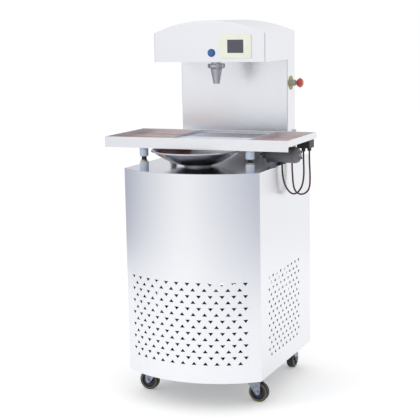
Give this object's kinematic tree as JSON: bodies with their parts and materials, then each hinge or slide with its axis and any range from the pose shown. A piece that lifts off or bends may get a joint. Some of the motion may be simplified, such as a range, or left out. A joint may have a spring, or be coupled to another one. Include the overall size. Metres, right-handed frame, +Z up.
{
  "type": "chocolate tempering machine",
  "caption": "Free-standing chocolate tempering machine: bow-fronted perforated cabinet on casters, bowl, vibrating mould table, and an overhanging head with a dosing spout.",
  "frame": {"origin": "on the floor, under the middle of the machine's overall width and depth", "axes": "+X to the right as one faces the front, -Y out of the bowed front, +Z up"},
  "size_m": [0.774, 0.728, 1.502],
  "materials": {
    "stainless": "satin stainless sheet",
    "stainless_deck": "smooth stainless plate",
    "polished_steel": "polished stainless",
    "galvanised": "bare drawn metal",
    "zinc_steel": "zinc-plated pressed steel",
    "frame_paint": "grey paint",
    "black_paint": "black paint",
    "motor_paint": "grey paint",
    "white_plastic": "white buffer sleeve",
    "black_rubber": "black rubber",
    "brass_nut": "dull brass",
    "cream_plastic": "pale cream frame",
    "screen": "dark display",
    "blue_plastic": "blue cap",
    "grey_plastic": "light grey",
    "yellow_plastic": "yellow",
    "red_plastic": "red",
    "black_plastic": "black",
    "cable_jacket": "cable jacket",
    "cable_jacket_red": "dark red cable jacket",
    "wheel_rubber": "grey rubber tread on a plastic hub"
  },
  "bodies": {
    "machine": {"base_pan": "galvanised", "chassis_frame": "frame_paint", "front_panel": "stainless", "side_panel_left": "stainless", "side_panel_right": "stainless", "back_panel": "stainless", "cover_screws": "zinc_steel", "deck_plate": "stainless_deck", "column_shell": "stainless", "head_shell": "stainless", "head_underside": "stainless", "housing_back_cover": "stainless", "delivery_pipe": "polished_steel", "spout_nut": "polished_steel", "spout_nozzle": "polished_steel", "screen_bezel": "cream_plastic", "screen_glass": "screen", "button_collar": "grey_plastic", "estop_plate": "yellow_plastic", "estop_collar": "grey_plastic", "bowl": "polished_steel", "bowl_collar": "galvanised", "suction_pipe": "polished_steel", "auger_tube": "polished_steel", "gear_motor": "motor_paint", "motor_stand": "frame_paint", "compressor": "black_paint", "condenser": "galvanised", "fan_shroud": "black_paint", "fan_motor": "motor_paint", "control_box": "motor_paint", "buffer_feet": "white_plastic", "buffer_necks": "black_rubber", "buffer_nuts": "brass_nut", "deck_cable_outlet": "black_plastic", "cable_red": "cable_jacket_red", "caster_plates": "zinc_steel"},
    "table": {"table_rim": "stainless", "table_floor": "stainless_deck", "table_dividers": "stainless", "table_rails": "stainless", "buffer_caps": "white_plastic", "vibrator_motor": "motor_paint", "junction_box": "black_plastic", "cable_black": "cable_jacket"},
    "mould_plate": {"mould_plate": "stainless_deck"},
    "mould_grate": {"mould_grate": "polished_steel"},
    "dispense_button": {"dispense_button": "blue_plastic"},
    "estop_stem": {"estop_stem": "grey_plastic"},
    "estop_mushroom": {"estop_mushroom": "red_plastic"},
    "auger_screw": {"auger_screw": "polished_steel"},
    "fan_blade": {"fan_blade": "black_plastic"},
    "caster_fork_front_right": {"caster_fork_front_right": "zinc_steel"},
    "caster_wheel_front_right": {"caster_wheel_front_right": "wheel_rubber"},
    "caster_fork_front_left": {"caster_fork_front_left": "zinc_steel"},
    "caster_wheel_front_left": {"caster_wheel_front_left": "wheel_rubber"},
    "caster_fork_rear_right": {"caster_fork_rear_right": "zinc_steel"},
    "caster_wheel_rear_right": {"caster_wheel_rear_right": "wheel_rubber"},
    "caster_fork_rear_left": {"caster_fork_rear_left": "zinc_steel"},
    "caster_wheel_rear_left": {"caster_wheel_rear_left": "wheel_rubber"}
  },
  "joints": [
    {"name": "table_vibration", "type": "slide", "parent": "machine", "child": "table", "axis": [1, 0, 0], "range_m": [-0.001, 0.001], "stiffness_N_per_m": 30000},
    {"name": "mould_plate_lift", "type": "slide", "parent": "table", "child": "mould_plate", "axis": [0, 0, 1], "range_m": [0, 0.15]},
    {"name": "mould_grate_lift", "type": "slide", "parent": "table", "child": "mould_grate", "axis": [0, 0, 1], "range_m": [0, 0.15]},
    {"name": "dispense_button_press", "type": "slide", "parent": "machine", "child": "dispense_button", "axis": [0, 1, 0], "range_m": [0, 0.003], "stiffness_N_per_m": 400},
    {"name": "estop_press", "type": "slide", "parent": "machine", "child": "estop_stem", "axis": [-1, 0, 0], "range_m": [0, 0.006], "stiffness_N_per_m": 800},
    {"name": "estop_twist", "type": "hinge", "parent": "estop_stem", "child": "estop_mushroom", "pos_m": [0.25, 0.259, 1.241], "axis": [1, 0, 0], "range_deg": [0, 45], "stiffness_Nm_per_rad": 0.05},
    {"name": "auger_spin", "type": "hinge", "parent": "machine", "child": "auger_screw", "pos_m": [0, 0.262, 0.9], "axis": [0, 0, 1], "continuous": true},
    {"name": "fan_spin", "type": "hinge", "parent": "machine", "child": "fan_blade", "pos_m": [0, -0.19, 0.254], "axis": [0, 1, 0], "continuous": true},
    {"name": "caster_swivel_front_right", "type": "hinge", "parent": "machine", "child": "caster_fork_front_right", "pos_m": [0.216, -0.164, 0.103], "axis": [0, 0, 1], "continuous": true},
    {"name": "wheel_spin_front_right", "type": "hinge", "parent": "caster_fork_front_right", "child": "caster_wheel_front_right", "pos_m": [0.24, -0.164, 0.04], "axis": [0, 1, 0], "continuous": true},
    {"name": "caster_swivel_front_left", "type": "hinge", "parent": "machine", "child": "caster_fork_front_left", "pos_m": [-0.216, -0.164, 0.103], "axis": [0, 0, 1], "continuous": true},
    {"name": "wheel_spin_front_left", "type": "hinge", "parent": "caster_fork_front_left", "child": "caster_wheel_front_left", "pos_m": [-0.24, -0.164, 0.04], "axis": [0, 1, 0], "continuous": true},
    {"name": "caster_swivel_rear_right", "type": "hinge", "parent": "machine", "child": "caster_fork_rear_right", "pos_m": [0.216, 0.3, 0.103], "axis": [0, 0, 1], "continuous": true},
    {"name": "wheel_spin_rear_right", "type": "hinge", "parent": "caster_fork_rear_right", "child": "caster_wheel_rear_right", "pos_m": [0.216, 0.324, 0.04], "axis": [1, 0, 0], "continuous": true},
    {"name": "caster_swivel_rear_left", "type": "hinge", "parent": "machine", "child": "caster_fork_rear_left", "pos_m": [-0.216, 0.3, 0.103], "axis": [0, 0, 1], "continuous": true},
    {"name": "wheel_spin_rear_left", "type": "hinge", "parent": "caster_fork_rear_left", "child": "caster_wheel_rear_left", "pos_m": [-0.216, 0.324, 0.04], "axis": [1, 0, 0], "continuous": true}
  ]
}
